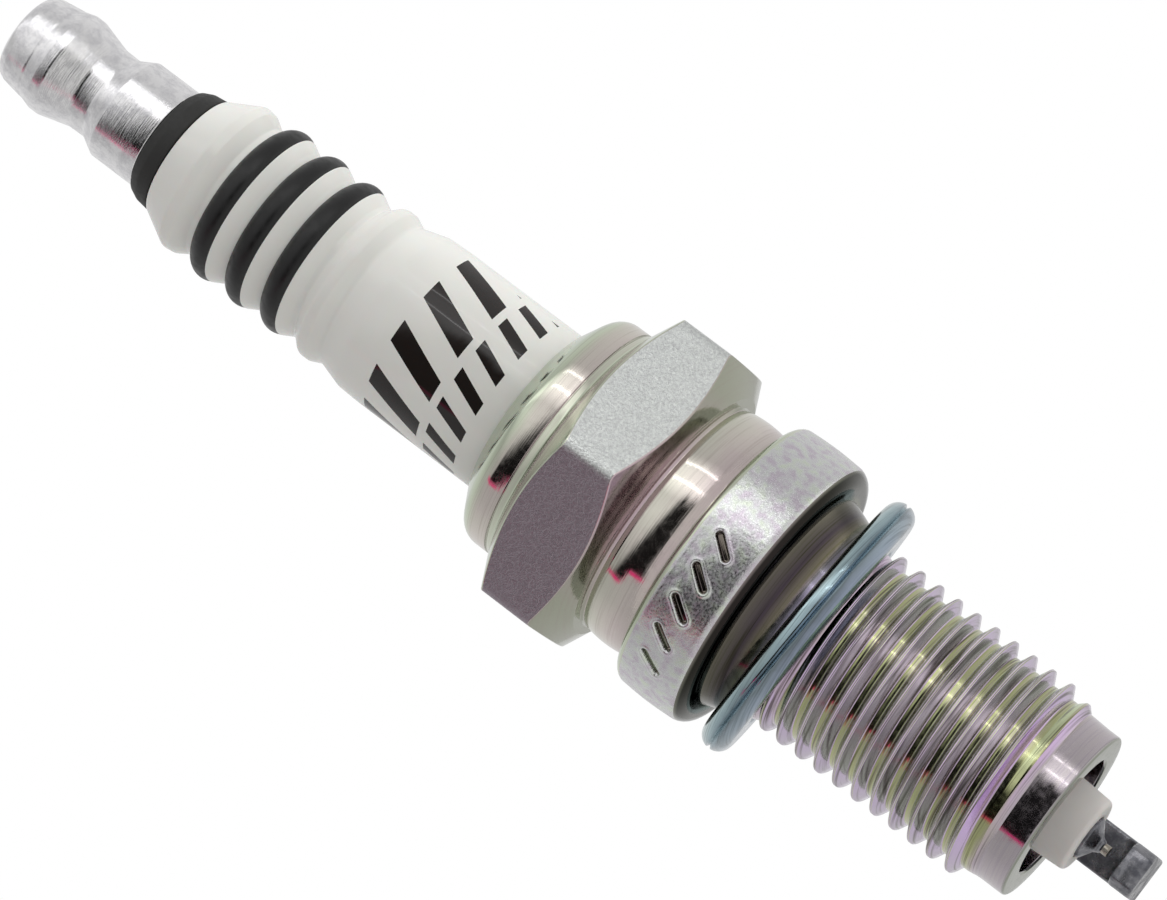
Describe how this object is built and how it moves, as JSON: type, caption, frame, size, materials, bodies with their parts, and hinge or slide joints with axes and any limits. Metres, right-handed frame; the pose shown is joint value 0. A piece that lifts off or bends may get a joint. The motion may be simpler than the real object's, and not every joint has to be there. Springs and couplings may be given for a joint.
{
  "type": "spark plug",
  "caption": "Motorcycle spark plug: threaded metal shell with hexagon and flange, glazed ribbed insulator, screw-on terminal nut, crush gasket, iridium tip and bent ground electrode.",
  "frame": {"origin": "centre of the gasket seat, on the flange's lower face", "axes": "+Z along the plug's axis towards the terminal; the firing end points to -Z; the ground electrode's leg is on the +Y side"},
  "size_m": [0.018, 0.0206, 0.0772],
  "materials": {
    "plated_steel": "bright trivalent zinc plating with a faint straw, green and pink film",
    "nickel_alloy": "sawn and bent nickel alloy, dulled by heat",
    "zinc_plated_gasket": "folded sheet steel with bluish zinc plating",
    "glazed_alumina": "white alumina with a glossy clear glaze, unglazed at the nose",
    "dark_ring": "matt dark grey",
    "black_ring": "glossy black",
    "terminal_metal": "turned, with fine rings",
    "stud_steel": "rolled thread, plated",
    "seal_glass": "dark conductive glass",
    "resistor_glass": "dark sintered carbon and glass",
    "copper": "drawn copper",
    "iridium": "drawn wire",
    "packing_steel": "bare steel",
    "talc": "pressed powder"
  },
  "bodies": {
    "plug": {"metal_shell": "plated_steel", "ground_electrode": "nickel_alloy", "ground_electrode_weld": "nickel_alloy", "insulator": "glazed_alumina", "terminal_seal_ring": "dark_ring", "insulator_ring_upper": "black_ring", "insulator_ring_middle": "black_ring", "insulator_ring_lower": "black_ring", "terminal_stud": "stud_steel", "upper_glass_seal": "seal_glass", "resistor": "resistor_glass", "lower_glass_seal": "seal_glass", "centre_electrode": "nickel_alloy", "copper_core": "copper", "iridium_tip": "iridium", "tip_weld": "nickel_alloy", "upper_packing_ring": "packing_steel", "talc_packing": "talc", "lower_packing_ring": "packing_steel", "seat_packing": "packing_steel"},
    "terminal_nut": {"terminal_nut": "terminal_metal"},
    "gasket": {"gasket": "zinc_plated_gasket"}
  },
  "joints": [
    {"name": "nut_unscrew", "type": "slide", "parent": "plug", "child": "terminal_nut", "axis": [0, 0, 1], "range_m": [0, 0.0095]},
    {"name": "gasket_rock", "type": "hinge", "parent": "plug", "child": "gasket", "pos_m": [-0.00212, 0.00667, 0], "axis": [-0.9532, -0.3024, 0], "range_deg": [0, 8.9]}
  ]
}
